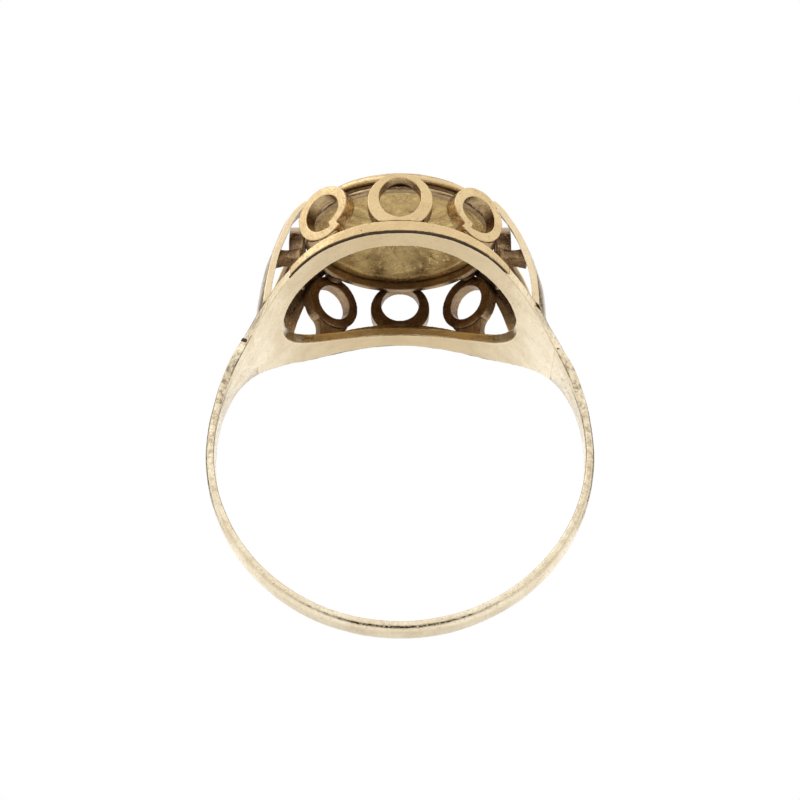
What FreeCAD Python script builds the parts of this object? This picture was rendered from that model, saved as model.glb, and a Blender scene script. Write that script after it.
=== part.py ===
"""Coin-set cocktail ring: soldered gold strip pieces, one STEP file per piece.

Frame: origin at the centre of the finger bore, +Y along the finger, +Z up to the setting, millimetres.
"""
import FreeCAD, Part
import math
import os

# ---- driving dimensions, millimetres ----
BORE_R = 9.0            # finger bore
BAND_R = 9.5            # outside of the band
BAND_HALF = 0.70        # half width of the band at the bottom
BAND_EDGE = 0.10        # rounding of the band's outer edges
JOINT_LEFT = 36.0       # solder joint between hoop and saddle, degrees above the horizontal
JOINT_RIGHT = 32.0
# half outline of the saddle seen from above: distance from the middle, half width there
SADDLE_X = (0.0, 1.7, 3.2, 4.2, 5.0, 5.7, 6.3, 6.8, 7.3, 7.9, 8.4, 8.95)
SADDLE_Y = (5.55, 5.50, 5.30, 4.98, 4.50, 3.88, 3.25, 2.65, 2.00, 1.36, 0.95, 0.70)
SADDLE_END = 9.6        # past the band's outside, where the prism of that outline ends
WINDOW_X = (0.0, 1.7, 2.9, 4.1, 4.9, 5.5, 5.8, 5.9)
WINDOW_Y = (4.40, 4.27, 3.97, 3.36, 2.72, 1.85, 1.00, 0.0)
PLATE_R = 9.16          # outside of the thin plate under the rails
RAIL_WIDTH = 1.10
RAIL_END = 5.35         # half length of a rail
RAIL_TOP = 9.74         # crown height of a rail
RAIL_CURVE = 8.69       # radius of the rail's outer face
LOOP_DEEP = 0.72        # length of a loop along its own axis
BIG_LOOP = (1.60, 1.03)     # outer and inner radius, near and far loop
BIG_RISE = 0.27             # how far the hole of such a loop sits above its middle
NEAR_LOOP = (1.56, 1.00)    # near diagonal loops
FAR_LOOP = (1.52, 1.00)     # far diagonal loops
END_LOOP = (1.50, 0.95)     # end loops
BIG_PLACE = (0.0, 5.16, 10.93)          # centre of the far loop
FAR_SIDE_PLACE = (3.72, 4.10, 10.74)    # centre of the far right loop
NEAR_LEFT_PLACE = (-3.64, -4.19, 10.88)
NEAR_RIGHT_PLACE = (3.69, -4.15, 10.82)
SIDE_TURN = 37.0                    # how far the diagonal loops face away from the finger axis
END_PLACE = (5.30, 0.0, 10.92)      # centre of the right end loop
GAP_WIDE = 0.14         # open gap of a bent loop
NEAR_LEFT_GAP = 42.0    # where the gap sits, degrees from straight down
NEAR_RIGHT_GAP = -42.0
COLLET_R = 4.95
COLLET_BASE = 12.0
COLLET_TOP = 13.05
SEAT_Z = 12.45
SEAT_R = 4.58
COIN_R = 4.72
COIN_TOP = 13.0
LIP_R = 5.15
LIP_Z = (12.44, 12.74)
STRAP_THICK = 0.32
STRAP_NEAR = 2.80       # how far a strap reaches to the near side of the finger plane
STRAP_FAR = 3.80        # and to the far side
FORK_HALF = 1.45        # half width of the slot between its two arms
FORK_Z = 8.3            # foot of that slot
# outer line of each strap from the lip down to the shoulder: (radius, height)
LEFT_STRAP = (
    (5.60, 12.74), (5.93, 12.35), (6.26, 11.76), (6.58, 10.82),
    (6.93, 9.63), (7.13, 8.52), (7.26, 7.24), (7.36, 5.80))
RIGHT_STRAP = (
    (5.60, 12.74), (5.93, 12.30), (6.27, 11.62), (6.64, 10.82),
    (7.11, 9.31), (7.30, 8.46), (7.38, 7.40), (7.42, 5.80))
WEB_X = (5.10, 6.30)    # webs of solder between the end loops and the straps
WEB_Y = (-2.00, -1.15)
WEB_Z = (9.75, 10.40)
LEFT_BEAD = (-3.55, 3.70, 12.25, 0.45)      # lumps of solder under the lip: place and radius
RIGHT_BEAD = (3.60, 3.65, 12.30, 0.40)
CRUMB = 0.004           # solids smaller than this, in cubic millimetres, are cutting waste

V = FreeCAD.Vector
X_AXIS = V(1, 0, 0)
Y_AXIS = V(0, 1, 0)
Z_AXIS = V(0, 0, 1)


def tube(outer, inner, length, centre, axis):
    """Ring of rectangular section, centred on a point."""
    start = centre - axis * (length / 2)
    return Part.makeCylinder(outer, length, start, axis).cut(Part.makeCylinder(inner, length, start, axis))


def block(x0, x1, y0, y1, z0, z1):
    return Part.makeBox(x1 - x0, y1 - y0, z1 - z0, V(x0, y0, z0))


def plan_prism(xs, ys, z0, z1):
    """Upright prism on a smooth closed outline, given by one quarter of it."""
    quarter = list(zip(xs, ys))
    right_far = quarter
    right_near = [(x, -y) for x, y in reversed(quarter)]
    left_near = [(-x, -y) for x, y in quarter]
    left_far = [(-x, y) for x, y in reversed(quarter)]
    outline = []
    for x, y in right_far + right_near + left_near + left_far:
        if not outline or math.hypot(x - outline[-1][0], y - outline[-1][1]) > 0.01:
            outline.append((x, y))
    if math.hypot(outline[0][0] - outline[-1][0], outline[0][1] - outline[-1][1]) < 0.01:
        outline.pop()
    curve = Part.BSplineCurve()
    curve.interpolate(Points=[V(x, y, z0) for x, y in outline], PeriodicFlag=True)
    return Part.Face(Part.Wire([curve.toShape()])).extrude(V(0, 0, z1 - z0))


def saddle_prism():
    """Upright prism with the outline of the saddle plate; at both ends it is as wide as the band."""
    half = list(zip(SADDLE_X, SADDLE_Y))
    across = [(-x, y) for x, y in reversed(half[1:])] + half
    end_x, end_y = half[-1]
    edges = []
    for side in (-1, 1):
        curve = Part.BSplineCurve()
        points = [V(x, side * y, 0) for x, y in across]
        curve.interpolate(Points=points)
        edges.append(curve.toShape())
        for end in (-1, 1):
            edges.append(Part.makeLine(V(end * end_x, side * end_y, 0), V(end * SADDLE_END, side * end_y, 0)))
    for end in (-1, 1):
        edges.append(Part.makeLine(V(end * SADDLE_END, -end_y, 0), V(end * SADDLE_END, end_y, 0)))
    wire = Part.Wire(Part.__sortEdges__(edges))
    return Part.Face(wire).extrude(V(0, 0, 11))


def joint_wedge():
    """The sector above the two solder joints of the band."""
    left = math.radians(180 - JOINT_LEFT)
    right = math.radians(JOINT_RIGHT)
    corners = [V(0, -8, 0), V(20 * math.cos(right), -8, 20 * math.sin(right)), V(0, -8, 40),
               V(20 * math.cos(left), -8, 20 * math.sin(left)), V(0, -8, 0)]
    return Part.Face(Part.makePolygon(corners)).extrude(V(0, 16, 0))


def hoop():
    """The lower part of the band, from joint to joint; its outer edges are rounded below the middle."""
    band = tube(BAND_R, BORE_R, 12, V(0, 0, 0), Y_AXIS)
    lower = band.common(block(-10, 10, -BAND_HALF, BAND_HALF, -10, 0))
    round_edges = [e for e in lower.Edges if e.Curve.TypeId == "Part::GeomCircle"]
    rim = [e for e in round_edges if abs(e.Curve.Radius - BAND_R) < 1e-6]
    lower = lower.makeFillet(BAND_EDGE, rim)
    upper = band.common(saddle_prism()).cut(joint_wedge())
    return lower.fuse(upper).removeSplitter()


def rail_footprint(side):
    """Plan area of one rail: a strip of even width along the edge of the saddle."""
    inner_ys = [y - RAIL_WIDTH for y in SADDLE_Y[:7]]
    inner = [V(x, y, 0) for x, y in zip(SADDLE_X[:7], inner_ys)]
    curve = Part.BSplineCurve()
    curve.interpolate(Points=[V(-p.x, p.y, 0) for p in reversed(inner[1:])] + inner)
    last = inner[-1]
    corners = [V(last.x, last.y, 0), V(last.x, 9, 0), V(-last.x, 9, 0), V(-last.x, last.y, 0)]
    closing = Part.makePolygon(corners)
    face = Part.Face(Part.Wire([curve.toShape()] + closing.Edges))
    strip = face.extrude(V(0, 0, 11)).common(block(-RAIL_END, RAIL_END, 0, 9, 0, 11))
    strip = strip.common(saddle_prism())
    if side < 0:
        strip = strip.mirror(V(0, 0, 0), Y_AXIS)
    return strip


def saddle():
    """Shoulders and the curved plate under the setting, with its window."""
    band = tube(BAND_R, BORE_R, 12, V(0, 0, 0), Y_AXIS)
    body = band.common(saddle_prism()).common(joint_wedge())
    body = body.cut(plan_prism(WINDOW_X, WINDOW_Y, 0, 11))
    seat = tube(12, PLATE_R, 12, V(0, 0, 0), Y_AXIS)
    for side in (-1, 1):
        body = body.cut(seat.common(rail_footprint(side)))
    return body


def rail(side):
    """Strip soldered on one bar of the saddle."""
    crown = Part.makeCylinder(RAIL_CURVE, 12, V(0, -6, RAIL_TOP - RAIL_CURVE), Y_AXIS)
    core = Part.makeCylinder(PLATE_R, 12, V(0, -6, 0), Y_AXIS)
    return rail_footprint(side).common(crown).cut(core)


def turned(profile):
    """Ring turned about the vertical axis from a closed profile of (radius, height) points."""
    points = [V(r, 0, z) for r, z in profile]
    return Part.Face(Part.makePolygon(points + points[:1])).revolve(V(0, 0, 0), Z_AXIS, 360)


def collet():
    """Round wall that holds the medallion, with a bead at its foot and a shallow groove above it."""
    return turned([
        (SEAT_R, COLLET_BASE), (4.88, COLLET_BASE), (COLLET_R, 12.07), (COLLET_R, 12.18), (4.86, 12.26),
        (4.86, LIP_Z[1]), (4.86, 12.96), (4.80, COLLET_TOP), (COIN_R, COLLET_TOP), (COIN_R, SEAT_Z),
        (SEAT_R, SEAT_Z)])


def lip():
    """Flat flange ring round the collet, on the tops of the loops."""
    return turned([
        (4.86, LIP_Z[0]), (LIP_R - 0.06, LIP_Z[0]), (LIP_R, LIP_Z[0] + 0.06), (LIP_R, LIP_Z[1] - 0.06),
        (LIP_R - 0.06, LIP_Z[1]), (4.86, LIP_Z[1])])


def petal(angle, near_r, far_r, half, z0, z1):
    """Low pointed leaf lying along a radius."""
    mid = (near_r + far_r) / 2
    start = V(near_r, 0, z0)
    end = V(far_r, 0, z0)
    sides = [Part.Arc(start, V(mid, half * side, z0), end).toShape() for side in (-1, 1)]
    leaf = Part.Face(Part.Wire(Part.__sortEdges__(sides))).extrude(V(0, 0, z1 - z0))
    leaf.rotate(V(0, 0, 0), Z_AXIS, angle)
    return leaf


def medallion():
    """Coin-like disc with a raised border and a plain rosette on both faces."""
    body = turned([
        (0, SEAT_Z + 0.05), (4.05, SEAT_Z + 0.05), (4.12, SEAT_Z), (COIN_R, SEAT_Z), (COIN_R, COIN_TOP),
        (4.12, COIN_TOP), (4.05, COIN_TOP - 0.05), (0, COIN_TOP - 0.05)])
    leaves = []
    for z0 in (SEAT_Z + 0.01, COIN_TOP - 0.06):
        leaves.append(Part.makeCylinder(0.55, 0.05, V(0, 0, z0)))
        for i in range(12):
            leaves.append(petal(30 * i, 0.9, 2.3, 0.24, z0, z0 + 0.05))
            leaves.append(petal(30 * i + 15, 2.2, 3.6, 0.30, z0, z0 + 0.05))
    return body.multiFuse(leaves)


def opposite(place):
    """The same place on the left half of the ring."""
    x, y, z = place
    return (-x, y, z)


def stood(shape, place, bearing):
    """Turns a shape made on the +X axis to face a bearing and puts it at its place."""
    shape.rotate(V(0, 0, 0), Z_AXIS, bearing)
    shape.translate(V(*place))
    return shape


def loop(place, bearing, radii, rise=0.0, gap=None):
    """Strip bent to a ring and stood on edge; gap is the angle of its open joint from straight down."""
    outer, inner = radii
    start = V(-LOOP_DEEP / 2, 0, 0)
    body = Part.makeCylinder(outer, LOOP_DEEP, start, X_AXIS)
    body = body.cut(Part.makeCylinder(inner, LOOP_DEEP, start + V(0, 0, rise), X_AXIS))
    if gap is not None:
        slot = block(-1, 1, -GAP_WIDE / 2, GAP_WIDE / 2, -2, 0)
        slot.rotate(V(0, 0, 0), X_AXIS, gap)
        body = body.cut(slot)
    return stood(body, place, bearing)


def strap(line):
    """Ribbon from the right shoulder up to the lip, bent round the setting, forked into two arms."""
    outer = [V(r, 0, z) for r, z in line]
    inner = [V(r - STRAP_THICK, 0, z - 0.08 * STRAP_THICK) for r, z in line]
    front = Part.BSplineCurve()
    front.interpolate(Points=outer)
    back = Part.BSplineCurve()
    back.interpolate(Points=inner)
    ends = [Part.makeLine(outer[-1], inner[-1]), Part.makeLine(inner[0], outer[0])]
    edges = [front.toShape(), back.toShape()] + ends
    face = Part.Face(Part.Wire(Part.__sortEdges__(edges)))
    face.rotate(V(0, 0, 0), Z_AXIS, -45)
    ribbon = face.revolve(V(0, 0, 0), Z_AXIS, 90).common(block(0, 12, -STRAP_NEAR, STRAP_FAR, 0, 14))
    round_foot = Part.makeCylinder(FORK_HALF, 12, V(0, 0, FORK_Z + FORK_HALF), X_AXIS)
    slot = block(0, 12, -FORK_HALF, FORK_HALF, FORK_Z + FORK_HALF, 14)
    return ribbon.cut(round_foot).cut(slot)


def foot(place, bearing, wide, low, high):
    """Little strip on which a loop stands, between two heights."""
    back = 0.05 - LOOP_DEEP / 2
    front = LOOP_DEEP / 2 - 0.03
    strip = block(back, front, -wide / 2, wide / 2, low - place[2], high - place[2])
    return stood(strip, place, bearing)


def bead(x, y, z, radius):
    return Part.makeSphere(radius, V(x, y, z))


def leftovers(shape, others):
    """What is left of a shape outside its neighbours, without crumbs."""
    for other in others:
        if shape.Solids:
            shape = shape.cut(other)
    return [solid for solid in shape.Solids if solid.Volume > CRUMB]


def trimmed(shape, others):
    """The shape with its neighbours cut out of it; only its largest solid is kept."""
    return max(leftovers(shape, others), key=lambda solid: solid.Volume)


def main():
    os.makedirs("parts", exist_ok=True)
    plate = trimmed(saddle(), [])
    rails = {"rail_near": trimmed(rail(-1), []), "rail_far": trimmed(rail(1), [])}
    setting = {"collet": trimmed(collet(), []), "lip": trimmed(lip(), [])}
    fixed = [plate] + list(rails.values()) + list(setting.values())
    sides = {
        "far_right": (FAR_SIDE_PLACE, 90 - SIDE_TURN, FAR_LOOP, None),
        "far_left": (opposite(FAR_SIDE_PLACE), 90 + SIDE_TURN, FAR_LOOP, None),
        "near_left": (NEAR_LEFT_PLACE, 270 - SIDE_TURN, NEAR_LOOP, NEAR_LEFT_GAP),
        "near_right": (NEAR_RIGHT_PLACE, 270 + SIDE_TURN, NEAR_LOOP, NEAR_RIGHT_GAP),
    }
    far_place = BIG_PLACE
    near_place = (0.0, -BIG_PLACE[1], BIG_PLACE[2])
    loops = {
        "loop_near": loop(near_place, 270, BIG_LOOP, BIG_RISE),
        "loop_far": loop(far_place, 90, BIG_LOOP, BIG_RISE),
        "loop_left": loop(opposite(END_PLACE), 180, END_LOOP),
        "loop_right": loop(END_PLACE, 0, END_LOOP),
    }
    for name, (place, bearing, radii, gap) in sides.items():
        loops["loop_" + name] = loop(place, bearing, radii, gap=gap)
    loops = {name: trimmed(shape, fixed) for name, shape in loops.items()}
    straps = {"strap_left": strap(LEFT_STRAP).mirror(V(0, 0, 0), X_AXIS), "strap_right": strap(RIGHT_STRAP)}
    core = Part.makeCylinder(BAND_R, 12, V(0, -6, 0), Y_AXIS)
    below = [core] + fixed + list(loops.values())
    straps = {name: trimmed(shape, below) for name, shape in straps.items()}
    standing = fixed + list(loops.values()) + list(straps.values())
    window = plan_prism(WINDOW_X, WINDOW_Y, 0, 11)
    blanks = [foot(near_place, 270, 2.4, 9.2, 10.0), foot(far_place, 90, 2.4, 9.2, 10.0)]
    blanks += [foot(place, bearing, 1.6, 8.4, 9.45) for place, bearing, *_ in sides.values()]
    feet = []
    for blank in blanks:
        feet += leftovers(blank, [core, window] + standing + feet)
    beads = [bead(*LEFT_BEAD), bead(*RIGHT_BEAD)]
    beads += [block(-WEB_X[1], -WEB_X[0], *WEB_Y, *WEB_Z), block(*WEB_X, *WEB_Y, *WEB_Z)]
    beads = [trimmed(shape, standing + feet) for shape in beads]
    nodes = {"hoop": trimmed(hoop(), []), "saddle": plate}
    nodes["medallion"] = trimmed(medallion(), setting.values())
    nodes.update(rails)
    nodes.update(setting)
    nodes.update(loops)
    nodes.update(straps)
    nodes["loop_feet"] = Part.makeCompound(feet)
    nodes["solder_beads"] = Part.makeCompound(beads)
    for name, shape in nodes.items():
        shape.exportStep("parts/" + name + ".step")
        print(name, len(shape.Solids), "solids", round(shape.Volume, 4), "mm3, valid", shape.isValid())


main()
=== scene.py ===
import bpy
import bmesh
import math
from mathutils import Matrix, Vector, noise


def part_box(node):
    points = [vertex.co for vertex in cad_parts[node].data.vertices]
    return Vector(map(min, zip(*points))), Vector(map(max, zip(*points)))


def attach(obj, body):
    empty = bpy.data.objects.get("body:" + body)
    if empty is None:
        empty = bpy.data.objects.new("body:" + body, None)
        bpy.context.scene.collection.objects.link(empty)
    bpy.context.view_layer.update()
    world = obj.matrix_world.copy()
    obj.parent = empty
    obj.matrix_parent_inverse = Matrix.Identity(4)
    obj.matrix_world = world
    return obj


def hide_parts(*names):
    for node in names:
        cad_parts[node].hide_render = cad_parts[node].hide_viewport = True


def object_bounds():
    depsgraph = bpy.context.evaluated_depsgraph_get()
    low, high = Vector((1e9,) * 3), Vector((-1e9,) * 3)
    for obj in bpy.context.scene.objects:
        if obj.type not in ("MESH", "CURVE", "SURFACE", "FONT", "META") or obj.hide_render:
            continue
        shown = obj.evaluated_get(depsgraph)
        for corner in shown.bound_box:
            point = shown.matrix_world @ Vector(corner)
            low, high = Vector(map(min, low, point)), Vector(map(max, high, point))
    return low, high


MM = 0.001
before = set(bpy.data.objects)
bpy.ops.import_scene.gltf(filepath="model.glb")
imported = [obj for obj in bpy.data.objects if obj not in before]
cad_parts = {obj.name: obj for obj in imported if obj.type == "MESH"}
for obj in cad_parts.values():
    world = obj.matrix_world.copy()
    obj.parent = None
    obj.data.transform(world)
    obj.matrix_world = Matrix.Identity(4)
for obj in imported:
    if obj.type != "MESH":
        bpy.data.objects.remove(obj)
cad_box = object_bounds()
scene = bpy.context.scene


# ---------------------------------------------------------------- camera, light, stage
CAMERA_PLACE = Vector((0.0, -74.68, -36.30)) * MM
CAMERA_PITCH = 27.64        # degrees above the horizontal
FOCAL_LENGTH = 76.68
FLOOR_Z = -62.0 * MM
FLOOR_SIZE = 3.0
FLOOR_COLOUR = (0.93, 0.93, 0.92, 1)
# patches of the light tent: direction, angle to the patch's edge, width of its soft edge, colour
TENT_TOP = ((0, 0.45, 0.89), 38, 55, (1.16, 1.16, 1.16))
TENT_PATCHES = (
    ((0.0, 0.86, -0.50), 18, 30, (0.80, 0.785, 0.76)),
    ((-0.8, -0.5, -0.2), 12, 30, (0.86, 0.85, 0.83)),
    ((0.9, -0.4, -0.1), 10, 30, (0.78, 0.77, 0.75)),
    ((0.0, -0.80, -0.60), 19, 16, (0.03, 0.02, 0.015)),
    ((-0.64, 0.62, 0.46), 11, 14, (0.10, 0.08, 0.06)),
    ((0.64, 0.62, 0.46), 11, 14, (0.10, 0.08, 0.06)))


def make_camera():
    data = bpy.data.cameras.new("camera")
    data.sensor_width = 36.0
    data.lens = FOCAL_LENGTH
    data.clip_start = 0.002
    data.clip_end = 5.0
    camera = bpy.data.objects.new("camera", data)
    camera.location = CAMERA_PLACE
    camera.rotation_euler = (math.radians(90.0 + CAMERA_PITCH), 0.0, 0.0)
    scene.collection.objects.link(camera)
    scene.camera = camera


def make_world():
    """A white light tent, brighter at its top, with grey and dark patches and a dark opening low in front."""
    world = bpy.data.worlds.new("tent")
    scene.world = world
    world.use_nodes = True
    nodes = world.node_tree.nodes
    links = world.node_tree.links
    nodes.clear()
    place = nodes.new("ShaderNodeTexCoord").outputs["Generated"]

    def patch(direction, wide, soft):
        """1 inside a round patch of the tent, 0 outside; both angles in degrees."""
        dot = nodes.new("ShaderNodeVectorMath")
        dot.operation = "DOT_PRODUCT"
        links.new(place, dot.inputs[0])
        dot.inputs[1].default_value = Vector(direction).normalized()
        span = nodes.new("ShaderNodeMapRange")
        span.interpolation_type = "SMOOTHSTEP"
        span.inputs["From Min"].default_value = math.cos(math.radians(wide + soft))
        span.inputs["From Max"].default_value = math.cos(math.radians(wide))
        links.new(dot.outputs["Value"], span.inputs["Value"])
        return span.outputs[0]

    def blend(fac, below, above):
        mix = nodes.new("ShaderNodeMix")
        mix.data_type = "RGBA"
        links.new(fac, mix.inputs[0])
        for index, value in ((6, below), (7, above)):
            if isinstance(value, tuple):
                mix.inputs[index].default_value = value + (1.0,)
            else:
                links.new(value, mix.inputs[index])
        return mix.outputs[2]

    direction, wide, soft, colour = TENT_TOP
    light = blend(patch(direction, wide, soft), (1.0, 1.0, 1.0), colour)
    for direction, wide, soft, colour in TENT_PATCHES:
        light = blend(patch(direction, wide, soft), light, colour)
    tent = nodes.new("ShaderNodeBackground")
    links.new(light, tent.inputs["Color"])
    seen = nodes.new("ShaderNodeBackground")
    seen.inputs["Color"].default_value = (1.0, 1.0, 1.0, 1.0)
    mix = nodes.new("ShaderNodeMixShader")
    links.new(nodes.new("ShaderNodeLightPath").outputs["Is Camera Ray"], mix.inputs[0])
    links.new(tent.outputs[0], mix.inputs[1])
    links.new(seen.outputs[0], mix.inputs[2])
    links.new(mix.outputs[0], nodes.new("ShaderNodeOutputWorld").inputs["Surface"])


def softbox(name, place, size, power):
    data = bpy.data.lights.new(name, "AREA")
    data.shape = "SQUARE"
    data.size = size
    data.energy = power
    lamp = bpy.data.objects.new(name, data)
    lamp.location = place
    lamp.rotation_euler = (-Vector(place)).to_track_quat("-Z", "Y").to_euler()
    scene.collection.objects.link(lamp)


def make_floor():
    mesh = bpy.data.meshes.new("floor")
    bm = bmesh.new()
    bmesh.ops.create_grid(bm, x_segments=8, y_segments=8, size=FLOOR_SIZE)
    bm.to_mesh(mesh)
    bm.free()
    floor = bpy.data.objects.new("floor", mesh)
    floor.location = (0, 0, FLOOR_Z)
    floor.visible_glossy = False
    scene.collection.objects.link(floor)
    mat = bpy.data.materials.new("floor_white")
    mat.use_nodes = True
    shader = mat.node_tree.nodes["Principled BSDF"]
    shader.inputs["Base Color"].default_value = FLOOR_COLOUR
    shader.inputs["Roughness"].default_value = 0.6
    floor.data.materials.append(mat)


# ---------------------------------------------------------------- materials
class Graph:
    """Small helper for building a material's nodes. Noise scales are per millimetre."""

    def __init__(self, name):
        self.mat = bpy.data.materials.new(name)
        self.mat.use_nodes = True
        self.nodes = self.mat.node_tree.nodes
        self.links = self.mat.node_tree.links
        self.shader = self.nodes["Principled BSDF"]
        self.place = self.nodes.new("ShaderNodeTexCoord").outputs["Object"]
        self.geometry = self.nodes.new("ShaderNodeNewGeometry")

    def fill(self, sockets, values):
        for socket, value in zip(sockets, values):
            if isinstance(value, (int, float)):
                socket.default_value = value
            elif isinstance(value, tuple):
                socket.default_value = value + (1.0,)
            else:
                self.links.new(value, socket)

    def noise(self, scale, detail=4.0, rough=0.55, turn=(0, 0, 0)):
        if not isinstance(scale, tuple):
            scale = (scale, scale, scale)
        mapping = self.nodes.new("ShaderNodeMapping")
        mapping.inputs["Scale"].default_value = tuple(v / MM for v in scale)
        mapping.inputs["Rotation"].default_value = turn
        self.links.new(self.place, mapping.inputs["Vector"])
        node = self.nodes.new("ShaderNodeTexNoise")
        node.inputs["Scale"].default_value = 1.0
        node.inputs["Detail"].default_value = detail
        node.inputs["Roughness"].default_value = rough
        self.links.new(mapping.outputs[0], node.inputs["Vector"])
        return node.outputs["Fac"]

    def span(self, value, low, high, out_low=0.0, out_high=1.0):
        node = self.nodes.new("ShaderNodeMapRange")
        self.fill(node.inputs, (value, low, high, out_low, out_high))
        return node.outputs[0]

    def math(self, how, *values):
        node = self.nodes.new("ShaderNodeMath")
        node.operation = how
        self.fill(node.inputs, values)
        return node.outputs[0]

    def mix(self, fac, a, b):
        node = self.nodes.new("ShaderNodeMix")
        node.data_type = "RGBA"
        self.fill((node.inputs[0], node.inputs[6], node.inputs[7]), (fac, a, b))
        return node.outputs[2]

    def split(self, vector):
        node = self.nodes.new("ShaderNodeSeparateXYZ")
        self.links.new(vector, node.inputs[0])
        return node.outputs

    def crevice(self, reach):
        node = self.nodes.new("ShaderNodeAmbientOcclusion")
        node.inputs["Distance"].default_value = reach * MM
        node.samples = 6
        return node.outputs["AO"]

    def bump(self, height, depth, below=None):
        node = self.nodes.new("ShaderNodeBump")
        node.inputs["Distance"].default_value = depth * MM
        self.links.new(height, node.inputs["Height"])
        if below is not None:
            self.links.new(below, node.inputs["Normal"])
        return node.outputs[0]

    def inward(self, floor_z):
        """1 on faces that look at the middle of the setting above a height, 0 elsewhere."""
        x, y, z = self.split(self.place)
        nx, ny, nz = self.split(self.geometry.outputs["Normal"])
        facing = self.math("ADD", self.math("MULTIPLY", x, nx), self.math("MULTIPLY", y, ny))
        inner = self.span(facing, 0.5 * MM, -1.5 * MM)
        high = self.span(z, (floor_z - 0.25) * MM, (floor_z + 0.25) * MM)
        return self.math("MULTIPLY", inner, high)


# painted shade in corners and creases; also the colour of pits
PIT_AND_SHADE_BROWN = (0.055, 0.030, 0.012)
# painted shade on faces that look into the setting
INWARD_SHADE_BROWN = (0.125, 0.066, 0.032)
FLANK_BROWN = (0.22, 0.155, 0.09)
# painted light: the cream of the brightly lit lower parts
LIT_CREAM = (0.97, 0.85, 0.63)
SETTING_FOOT = 9.35         # above this height the faces that look inwards get painted shade in brown
LIT_BELOW = 5.6           # below this height the shoulders and the band get painted light, in cream
BASE_ABOVE = 8.7            # and have their base colour above this one
STAIN_LOW = -5.0            # the stains on the band's flanks fade between these heights
STAIN_HIGH = 3.0
STAIN_LEAST = 0.25          # what is left of them at the bottom


def gold(name, base, dull, rough, worn=1.0, corner_shade=0.85, inward_shade=0.8, flank=0.0, bright=None):
    """Worn gold: mottled colour, painted shade in brown on faces inside the setting, painted shade in
    corners, scratches and pits.

    flank is the strength of the stains on faces that look along the finger; bright is the colour of the
    painted light low down.
    """
    g = Graph(name)
    # painted light: cream towards the bottom
    if bright:
        height = g.split(g.place)[2]
        base = g.mix(g.span(height, BASE_ABOVE * MM, LIT_BELOW * MM), base, bright)
    patches = g.span(g.noise(0.7, 5.0), 0.38, 0.66)
    colour = g.mix(g.math("MULTIPLY", patches, 0.55 * worn), base, dull)
    specks = g.span(g.noise(4.5, 6.0, 0.7), 0.57, 0.70)
    colour = g.mix(g.math("MULTIPLY", specks, 0.45 * worn), colour, dull)
    # painted shade: brown in clouds on faces that look into the setting
    cloud = g.span(g.noise(1.3, 4.0), 0.30, 0.62, 0.70, 1.0)
    inward_shade_mask = g.math("MULTIPLY", g.inward(SETTING_FOOT), g.math("MULTIPLY", cloud, inward_shade))
    colour = g.mix(inward_shade_mask, colour, INWARD_SHADE_BROWN)
    if flank:
        sides = g.span(g.math("ABSOLUTE", g.split(g.geometry.outputs["Normal"])[1]), 0.45, 0.92)
        blots = g.span(g.noise(3.4, 7.0, 0.75), 0.46, 0.60)
        above = g.span(g.split(g.place)[2], STAIN_LOW * MM, STAIN_HIGH * MM, STAIN_LEAST, 1.0)
        stained = g.math("MULTIPLY", g.math("MULTIPLY", sides, blots), g.math("MULTIPLY", above, flank))
        colour = g.mix(stained, colour, FLANK_BROWN)
    # painted shade: darker in corners and creases that the crevice test finds, broken up by noise
    shaded_corners = g.span(g.crevice(0.30), 0.30, 0.85, 1.0, 0.0)
    breakup = g.span(g.noise(3.0, 5.0, 0.65), 0.25, 0.60, 0.5, 1.0)
    colour = g.mix(g.math("MULTIPLY", shaded_corners, g.math("MULTIPLY", breakup, corner_shade)), colour, PIT_AND_SHADE_BROWN)
    pits = g.noise(9.0, 4.0, 0.65)
    holes = g.span(pits, 0.36, 0.29)
    colour = g.mix(g.math("MULTIPLY", holes, 0.8 * worn), colour, PIT_AND_SHADE_BROWN)
    g.links.new(colour, g.shader.inputs["Base Color"])
    g.shader.inputs["Metallic"].default_value = 1.0
    smear = g.span(g.noise(2.2, 4.0), 0.3, 0.75, rough * 0.7, rough * 1.4)
    g.links.new(g.math("ADD", smear, g.math("MULTIPLY", shaded_corners, 0.25)), g.shader.inputs["Roughness"])
    lines = g.noise((1.4, 34.0, 9.0), 3.0, 0.6, (0.3, 0.2, 0.5))
    cross = g.noise((26.0, 2.0, 11.0), 3.0, 0.6, (0.1, 0.7, 1.1))
    normal = g.bump(g.noise(1.6, 3.0), 0.040 * worn)
    normal = g.bump(g.math("ADD", lines, cross), 0.0050 * worn, normal)
    normal = g.bump(g.span(pits, 0.25, 0.45), 0.012 * worn, normal)
    g.links.new(normal, g.shader.inputs["Normal"])
    return g.mat


def dark_seam(name):
    """Dark line in a joint: painted shadow of its groove, and dirt packed into it."""
    g = Graph(name)
    colour = g.mix(g.noise(6.0), (0.022, 0.013, 0.007), (0.09, 0.05, 0.025))
    g.links.new(colour, g.shader.inputs["Base Color"])
    g.links.new(g.span(g.noise(9.0), 0.3, 0.7, 0.5, 0.85), g.shader.inputs["Roughness"])
    g.shader.inputs["Metallic"].default_value = 0.4
    return g.mat


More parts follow.
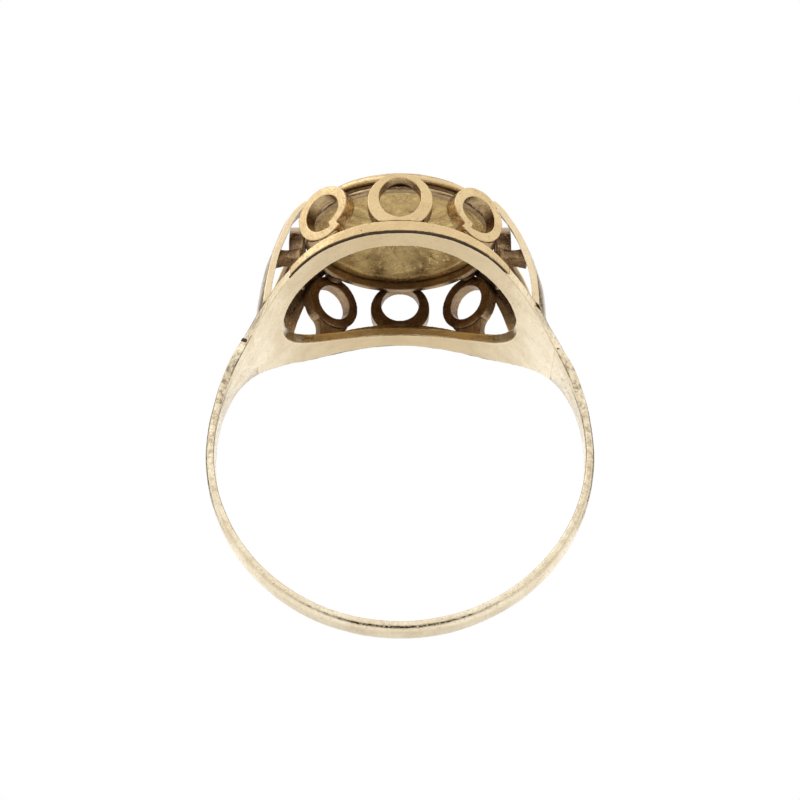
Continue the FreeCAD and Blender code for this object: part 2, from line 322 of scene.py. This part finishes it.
mats = {
    "ring": gold("ring_gold_worn", (0.77, 0.58, 0.315), (0.62, 0.43, 0.22), 0.24, inward_shade=1.0),
    "plate": gold(
        "plate_gold", (0.85, 0.68, 0.42), (0.68, 0.51, 0.30), 0.20,
        worn=0.7, corner_shade=0.7, inward_shade=0.35, bright=LIT_CREAM),
    "band": gold(
        "band_gold", (0.80, 0.65, 0.43), (0.70, 0.54, 0.335), 0.20,
        worn=0.9, corner_shade=0.7, flank=0.75, bright=LIT_CREAM),
    "strap": gold("strap_gold", (0.84, 0.69, 0.46), (0.68, 0.51, 0.30), 0.20, worn=0.8, corner_shade=0.7),
    "coin": gold(
        "coin_gold_satin", (0.93, 0.69, 0.31), (0.54, 0.37, 0.15), 0.30, worn=1.5, corner_shade=0.8, inward_shade=0.25),
    "solder": gold(
        "solder_rough", (0.46, 0.31, 0.17), (0.22, 0.13, 0.065), 0.30, worn=1.5, corner_shade=0.9, inward_shade=1.0),
    # painted shade: a darker copy of the gold for the far and side loops
    "shaded_gold": gold(
        "gold_painted_shade", (0.50, 0.355, 0.215), (0.30, 0.195, 0.105), 0.28, worn=1.2, corner_shade=0.9, inward_shade=1.0),
    # painted shade: a darker copy of the gold for the collet
    "setting": gold(
        "setting_gold_shaded", (0.64, 0.47, 0.28), (0.40, 0.27, 0.15), 0.30, worn=1.2, corner_shade=0.9, inward_shade=0.8),
    "seam": dark_seam("seam_dark"),
}


# ---------------------------------------------------------------- worn solid pieces
SKIN = 0.012            # pieces keep this far inside the box of the design
WELD = 0.0004           # corners nearer than this are one
VOXEL = 0.04            # usual cell when a solid is cut into a fine even mesh
WIDE_WAVE = 1.3         # length of the slow waves that hand work leaves, and of the fast ones
FAST_WAVE = 0.35
FAST_SHARE = 0.25       # height of the fast waves against the slow ones
HOLE_WIDE = 1.03        # half width of the hole of the near loop
HOLE_TALL = 1.12        # half its height
HOLE_DROP = 1.415       # middle of it, below the top of the loop
SWELL = 1.22            # melting round shrinks a lump, so it starts larger by this factor
WAIST = 0.22            # how much thinner a lump of solder is half way along


def ease(t):
    """0 up to t = 0, 1 from t = 1, smooth between."""
    t = min(max(t, 0.0), 1.0)
    return t * t * (3 - 2 * t)


def inside(point, margin=SKIN):
    """The point, moved into the box of the design, with a margin in millimetres."""
    low, high = cad_box
    skin = margin * MM
    return Vector([min(max(value, low[i] + skin), high[i] - skin) for i, value in enumerate(point)])


def finish_piece(name, mesh, kind, replaced=()):
    for face in mesh.polygons:
        face.use_smooth = True
    mesh.materials.clear()
    mesh.materials.append(mats[kind])
    piece = bpy.data.objects.new(name, mesh)
    scene.collection.objects.link(piece)
    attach(piece, "root")
    if replaced:
        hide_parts(*replaced)
    return piece


def worn_mesh(mesh, voxel, passes, wobble, seed, cutters=()):
    """A solid with its edges worn round and the slight unevenness of hand work, in millimetres."""
    raw = bpy.data.objects.new("raw", mesh)
    scene.collection.objects.link(raw)
    for cutter in cutters:
        cut = raw.modifiers.new("cut", "BOOLEAN")
        cut.operation = "DIFFERENCE"
        cut.solver = "EXACT"
        cut.object = cutter
    grid = raw.modifiers.new("grid", "REMESH")
    grid.mode = "VOXEL"
    grid.voxel_size = voxel * MM
    relax = raw.modifiers.new("relax", "SMOOTH")
    relax.factor = 0.5
    relax.iterations = passes
    bpy.context.view_layer.update()
    graph = bpy.context.evaluated_depsgraph_get()
    fine = bpy.data.meshes.new_from_object(raw.evaluated_get(graph))
    bpy.data.objects.remove(raw)
    shift = Vector((seed, seed * 0.7, -seed))
    for vertex in fine.vertices:
        slow = noise.noise_vector(vertex.co / (WIDE_WAVE * MM) + shift)
        fast = noise.noise_vector(vertex.co / (FAST_WAVE * MM) + shift)
        vertex.co = inside(vertex.co + (slow + fast * FAST_SHARE) * (wobble * MM))
    return fine


def welded(node_name):
    """A copy of a node's mesh with its split corners joined."""
    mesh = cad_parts[node_name].data.copy()
    bm = bmesh.new()
    bm.from_mesh(mesh)
    bmesh.ops.remove_doubles(bm, verts=bm.verts, dist=WELD * MM)
    bm.to_mesh(mesh)
    bm.free()
    return mesh


def worn_node(node_name, kind, seed, voxel=VOXEL, passes=3, wobble=0.02, cutters=()):
    mesh = worn_mesh(welded(node_name), voxel, passes, wobble, seed, cutters)
    return finish_piece(node_name + "_worn", mesh, kind, (node_name,))


def tall_node(node_name, kind, seed, stretch):
    """A loop bent a little taller than it is wide; its foot stays where it is."""
    mesh = welded(node_name)
    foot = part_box(node_name)[0][2]
    for vertex in mesh.vertices:
        vertex.co.z = foot + (vertex.co.z - foot) * stretch
    return finish_piece(node_name + "_tall", worn_mesh(mesh, VOXEL, 3, 0.02, seed), kind, (node_name,))


def hole_cutter():
    """Opens the hole of the near loop a little lower, as the bent strip leaves it."""
    low, high = (Vector(v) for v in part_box("loop_near"))
    mesh = bpy.data.meshes.new("hole")
    bm = bmesh.new()
    bmesh.ops.create_cone(
        bm, cap_ends=True, segments=64, radius1=HOLE_WIDE * MM, radius2=HOLE_WIDE * MM, depth=3 * MM)
    lie = Matrix.Rotation(math.radians(90.0), 4, "X")
    tall = Matrix.Diagonal((1.0, 1.0, HOLE_TALL / HOLE_WIDE, 1.0))
    middle = (low + high) / 2
    middle.z = high.z - HOLE_DROP * MM
    bmesh.ops.transform(bm, matrix=Matrix.Translation(middle) @ tall @ lie, verts=bm.verts)
    bm.to_mesh(mesh)
    bm.free()
    tool = bpy.data.objects.new("hole", mesh)
    scene.collection.objects.link(tool)
    return tool


def flowed_node(node_name, along, seed):
    """Lumps of solder: each solid of the node is cut finely, drawn in at its waist and melted round."""
    bm = bmesh.new()
    bm.from_mesh(welded(node_name))
    bmesh.ops.triangulate(bm, faces=bm.faces)
    bmesh.ops.subdivide_edges(bm, edges=bm.edges, cuts=5, use_grid_fill=True)
    left = set(bm.verts)
    while left:
        lump = {left.pop()}
        front = list(lump)
        while front:
            vert = front.pop()
            for edge in vert.link_edges:
                other = edge.other_vert(vert)
                if other in left:
                    left.remove(other)
                    lump.add(other)
                    front.append(other)
        low = [min(v.co[i] for v in lump) for i in range(3)]
        high = [max(v.co[i] for v in lump) for i in range(3)]
        for vert in lump:
            u = (vert.co[along] - low[along]) / (high[along] - low[along])
            waist = 1.0 - WAIST * (1.0 - (2.0 * u - 1.0) ** 2)
            for i in range(3):
                middle = (low[i] + high[i]) / 2
                vert.co[i] = middle + (vert.co[i] - middle) * SWELL * (1.0 if i == along else waist)
    mesh = bpy.data.meshes.new(node_name)
    bm.to_mesh(mesh)
    bm.free()
    return finish_piece(node_name + "_flow", worn_mesh(mesh, 0.05, 40, 0.04, seed), "solder", (node_name,))


# ---------------------------------------------------------------- band
BORE_R = 9.0
BAND_THICK = 0.50
BAND_THIN = 0.43        # thickness at the sides of the hoop
BOTTOM = 270.0          # angle of the lowest point
FLANK = 0.11            # height of the upright part of the band's edge
EDGE = 0.04             # bevel of its inner corners
TUCK = 1.4              # how far the ends reach into the saddle, degrees
SINK = 0.15             # how much they shrink on the way, as a share of the section
FLARE = 10.0            # over this many degrees from a joint the hoop's sides lean like the saddle's
FLATTEN = 26.0          # over this many degrees from a joint the half-round section turns flat
ROUND_POWER = 2.7       # roundness of the section low down: 2 is an ellipse
FLAT_POWER = 15.0       # added to it at a joint, where the section is almost square
SHELL = 0.05            # vertices this near a radius count as on it
SLOW_WAVE = (1.6, 0.014)    # length and height of the band's uneven waves
QUICK_WAVE = (0.4, 0.004)
PROFILE_STEPS = 28
HOOP_STEPS = 420


def half_widths(node_name, low_r, high_r):
    """Half width of the hoop between two radii, at angles round the bore.

    It only grows from the bottom up to each joint.
    """
    widest = {}
    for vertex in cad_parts[node_name].data.vertices:
        x, y, z = vertex.co / MM
        if low_r < math.hypot(x, z) < high_r:
            key = round(math.degrees(math.atan2(z, x)) % 360.0, 1)
            widest[key] = max(widest.get(key, 0.0), abs(y))
    kept = {}
    for side in (-1, 1):
        record = 0.0
        rising = [(((key - BOTTOM) * side) % 360.0, key) for key in widest]
        for reach, key in sorted(rising):
            if reach <= 180.0 and widest[key] >= record:
                record = widest[key]
                kept[key] = record
    return sorted(kept.items())


def width_tables():
    """Half widths of the hoop at its inside and at its outside."""
    return (
        half_widths("hoop", BORE_R - SHELL, BORE_R + SHELL),
        half_widths("hoop", BORE_R + BAND_THICK - SHELL, BORE_R + BAND_THICK + SHELL))


def looked_up(pairs, angle):
    """Straight-line value between known angles."""
    angle %= 360.0
    below = [p for p in pairs if p[0] <= angle] or [(pairs[-1][0] - 360.0, pairs[-1][1])]
    above = [p for p in pairs if p[0] >= angle] or [(pairs[0][0] + 360.0, pairs[0][1])]
    (a0, w0), (a1, w1) = below[-1], above[0]
    return w0 if a1 == a0 else w0 + (w1 - w0) * (angle - a0) / (a1 - a0)


def band_section(inner_half, outer_half, thick, power):
    """Half-round section: (across, height) pairs round the outline, starting at the inside."""
    crown = []
    for i in range(PROFILE_STEPS + 1):
        turn = math.pi * i / PROFILE_STEPS
        height = FLANK + (thick - FLANK) * math.sin(turn) ** (2 / power)
        half = inner_half + (outer_half - inner_half) * height / thick
        across = -math.copysign(abs(math.cos(turn)) ** (2 / power), math.cos(turn)) * half
        crown.append((across, height))
    inner = [(inner_half, EDGE), (inner_half - EDGE, 0.0)]
    floor = [(inner_half * f, 0.0) for f in (0.5, 0.0, -0.5)]
    return crown + inner + floor + [(-across, height) for across, height in reversed(inner)]


def make_hoop():
    """The band between its two solder joints, half round below and flat towards the joints."""
    pairs, outer_pairs = width_tables()
    joints = sorted(key for key, _ in pairs if key < 180)
    right = max(key for key in joints if key < 90) + TUCK
    left = min(key for key in joints if key > 90) - TUCK
    sweep = 360.0 - (left - right)
    bm = bmesh.new()
    rings = []
    for i in range(HOOP_STEPS + 1):
        degrees = left + sweep * i / HOOP_STEPS
        angle = math.radians(degrees)
        to_joint = min(sweep * i / HOOP_STEPS, sweep * (1 - i / HOOP_STEPS))
        flat = 1.0 - ease(to_joint / FLATTEN)
        thick = BAND_THIN + (BAND_THICK - BAND_THIN) * max(abs(math.sin(angle)), flat)
        inner_half = looked_up(pairs, degrees)
        outer_half = looked_up(outer_pairs, degrees)
        outer_half += (inner_half - outer_half) * ease(to_joint / FLARE)
        section = band_section(inner_half, outer_half, thick, ROUND_POWER + FLAT_POWER * flat)
        spoke = Vector((math.cos(angle), 0, math.sin(angle)))
        sunk = max(0.0, 1.0 - to_joint / TUCK)
        ring = []
        for across, height in section:
            height += (BAND_THICK / 2 - height) * sunk * SINK
            point = spoke * (BORE_R + height) + Vector((0, across, 0))
            wave = Vector()
            for length, rise in (SLOW_WAVE, QUICK_WAVE):
                wave += noise.noise_vector(point / length) * rise
            ring.append(bm.verts.new(inside((point + wave) * MM)))
        rings.append(ring)
    count = len(rings[0])
    for a, b in zip(rings, rings[1:]):
        for i in range(count):
            bm.faces.new((a[i], a[(i + 1) % count], b[(i + 1) % count], b[i]))
    bm.faces.new(rings[0])
    bm.faces.new(reversed(rings[-1]))
    bmesh.ops.recalc_face_normals(bm, faces=bm.faces)
    mesh = bpy.data.meshes.new("hoop_band")
    bm.to_mesh(mesh)
    bm.free()
    return finish_piece("hoop_band", mesh, "band", ("hoop",))


# ---------------------------------------------------------------- loops with open ends
LOOP_DEEP = 0.70        # length of a bent loop along its own axis
LOOP_TOP = 1.56         # its middle, below its top
LOOP_STEPS = 96


def strip_loop(name, node_name, bearing, start, sweep, radius, seed):
    """A strip bent to an open ring. radius(t) gives the inner and outer radius at t from 0 to 1.

    start and sweep are angles in degrees from straight down, turning towards the right as seen from outside.
    """
    low, high = (Vector(v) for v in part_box(node_name))
    outward = Vector((math.cos(math.radians(bearing)), math.sin(math.radians(bearing)), 0.0))
    right = Vector((-outward.y, outward.x, 0.0))
    centre = (low + high) / 2
    centre.z = high.z - LOOP_TOP * MM
    bm = bmesh.new()
    rings = []
    for i in range(LOOP_STEPS + 1):
        t = i / LOOP_STEPS
        angle = math.radians(start + sweep * t)
        spoke = right * math.sin(angle) + Vector((0, 0, -1)) * math.cos(angle)
        inner, outer = radius(t)
        shaded_corners = []
        for reach, side in ((inner, -1), (outer, -1), (outer, 1), (inner, 1)):
            shaded_corners.append(bm.verts.new(centre + (spoke * reach + outward * (side * LOOP_DEEP / 2)) * MM))
        rings.append(shaded_corners)
    for a, b in zip(rings, rings[1:]):
        for i in range(4):
            bm.faces.new((a[i], a[(i + 1) % 4], b[(i + 1) % 4], b[i]))
    bm.faces.new(rings[0])
    bm.faces.new(reversed(rings[-1]))
    bmesh.ops.recalc_face_normals(bm, faces=bm.faces)
    mesh = bpy.data.meshes.new(name)
    bm.to_mesh(mesh)
    bm.free()
    return finish_piece(name, worn_mesh(mesh, 0.035, 3, 0.025, seed), "ring", (node_name,))


def scroll_radius(t):
    """The strip starts inside as a thin curled tip, grows to full width and thins again at its far end."""
    tip = 1.0 - ease(t / 0.20)
    tail = ease((t - 0.90) / 0.10)
    return 1.01 - 0.24 * tip + 0.16 * tail, 1.50 - 0.33 * tip


# ---------------------------------------------------------------- seams and joint marks
PLATE_R = 9.16          # outside of the plate under the rails
SEAM_DROP = 0.09        # the dark line lies a little below the joint between rail and plate
SEAM_STEP = 0.15        # distance between points of a seam
SEAM_PROUD = 0.008      # how far a seam's line stands out of the joint
SEAM_TIP = 0.1          # thickness at the ends of a tapered seam, as a share
MARK_LEFT = 180.0 - 34.7    # dark marks of the solder joints on the near side, degrees round the bore
MARK_RIGHT = 32.3
MARK_STEPS = 5
MARK_SUNK = 0.12        # their middle line lies this far inside the near face
MARK_EDGE = 0.10        # and ends this far from the inside and the outside of the band


def edge_line(node_name, radius, side):
    """Outer lower edge of a rail: the outward hull of its vertices at one radius from the finger axis."""
    edge = []
    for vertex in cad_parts[node_name].data.vertices:
        x, y, z = vertex.co / MM
        if abs(math.hypot(x, z) - radius) < 0.02:
            edge.append((x, y * side))
    hull = []
    for x, y in sorted(edge):
        while len(hull) > 1:
            (x0, y0), (x1, y1) = hull[-2:]
            if (x1 - x0) * (y - y0) - (y1 - y0) * (x - x0) < 0:
                break
            hull.pop()
        hull.append((x, y))
    line = []
    for (x0, y0), (x1, y1) in zip(hull, hull[1:]):
        steps = max(1, round((x1 - x0) / SEAM_STEP))
        for i in range(steps):
            x = x0 + (x1 - x0) * i / steps
            y = y0 + (y1 - y0) * i / steps
            line.append(Vector((x, y * side, math.sqrt((radius - SEAM_DROP) ** 2 - x ** 2))))
    return line


def seam(name, points, side, thick, seed, tapered=False):
    """Thin uneven dark line lying in a joint: painted shadow of its groove, and dirt."""
    curve = bpy.data.curves.new(name, "CURVE")
    curve.dimensions = "3D"
    curve.bevel_depth = thick * MM
    curve.bevel_resolution = 2
    curve.use_fill_caps = True
    line = curve.splines.new("POLY")
    line.points.add(len(points) - 1)
    for i, (target, point) in enumerate(zip(line.points, points)):
        target.co = (*((point + Vector((0, side * SEAM_PROUD, 0))) * MM), 1.0)
        target.radius = 0.80 + 0.45 * noise.noise(point * 1.7 + Vector((seed, 0, 0)))
        if tapered and i in (0, len(points) - 1):
            target.radius = SEAM_TIP
    shape = bpy.data.objects.new(name, curve)
    scene.collection.objects.link(shape)
    bpy.context.view_layer.update()
    mesh = bpy.data.meshes.new_from_object(shape.evaluated_get(bpy.context.evaluated_depsgraph_get()))
    bpy.data.objects.remove(shape)
    for vertex in mesh.vertices:
        vertex.co = inside(vertex.co, 0.0)
    return finish_piece(name, mesh, "seam")


def joint_line(degrees):
    """Points across the near side of the hoop at one angle, a little below its skin."""
    angle = math.radians(degrees)
    spoke = Vector((math.cos(angle), 0.0, math.sin(angle)))
    inner, outer = (looked_up(table, degrees) for table in width_tables())
    line = []
    for i in range(MARK_STEPS + 1):
        height = MARK_EDGE + (BAND_THICK - 2 * MARK_EDGE) * i / MARK_STEPS
        half = inner + (outer - inner) * height / BAND_THICK - MARK_SUNK
        line.append(spoke * (BORE_R + height) - Vector((0.0, half, 0.0)))
    return line


# ---------------------------------------------------------------- making
make_camera()
make_world()
make_floor()
softbox("key", (-0.12, -0.10, 0.16), 0.14, 0.05)

KINDS = {
    "saddle": "plate", "medallion": "coin", "loop_feet": "solder", "solder_beads": "solder",
    "collet": "setting", "loop_far": "shaded_gold", "loop_far_left": "shaded_gold", "loop_far_right": "shaded_gold",
    "loop_left": "shaded_gold", "loop_right": "shaded_gold", "strap_left": "strap", "strap_right": "strap"}
OWN_MESH = (
    "hoop", "loop_feet", "solder_beads", "loop_near", "loop_near_left", "loop_near_right",
    "loop_left", "loop_right")
COARSE = {"saddle": 0.05, "medallion": 0.05}    # larger voxels for the two largest solids made this way
SMOOTH = {"medallion": 6}                       # passes of smoothing, 3 for the rest
SEED_STEP = 3.1
for index, name in enumerate(sorted(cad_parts)):
    if name not in OWN_MESH:
        kind = KINDS.get(name, "ring")
        worn_node(name, kind, index * SEED_STEP, COARSE.get(name, VOXEL), SMOOTH.get(name, 3))
make_hoop()
hole = hole_cutter()
worn_node("loop_near", "ring", 6.1, cutters=(hole,))
bpy.data.objects.remove(hole)
tall_node("loop_left", "shaded_gold", 7.7, 1.10)
tall_node("loop_right", "shaded_gold", 8.2, 1.10)
flowed_node("loop_feet", 2, 3.3)
flowed_node("solder_beads", 0, 4.9)
strip_loop("loop_near_left_scroll", "loop_near_left", 270.0 - 37.0, 28.0, 378.0, scroll_radius, 2.0)
strip_loop("loop_near_right_scroll", "loop_near_right", 270.0 + 37.0, -28.0, -378.0, scroll_radius, 5.0)
seam("seam_near", edge_line("rail_near", PLATE_R, -1), -1, 0.065, 1.0, tapered=True)
seam("joint_mark_left", joint_line(MARK_LEFT), -1, 0.20, 7.0)
seam("joint_mark_right", joint_line(MARK_RIGHT), -1, 0.18, 9.0)
seam("seam_far", edge_line("rail_far", PLATE_R, 1), 1, 0.055, 4.0, tapered=True)

scene.view_settings.view_transform = "Standard"
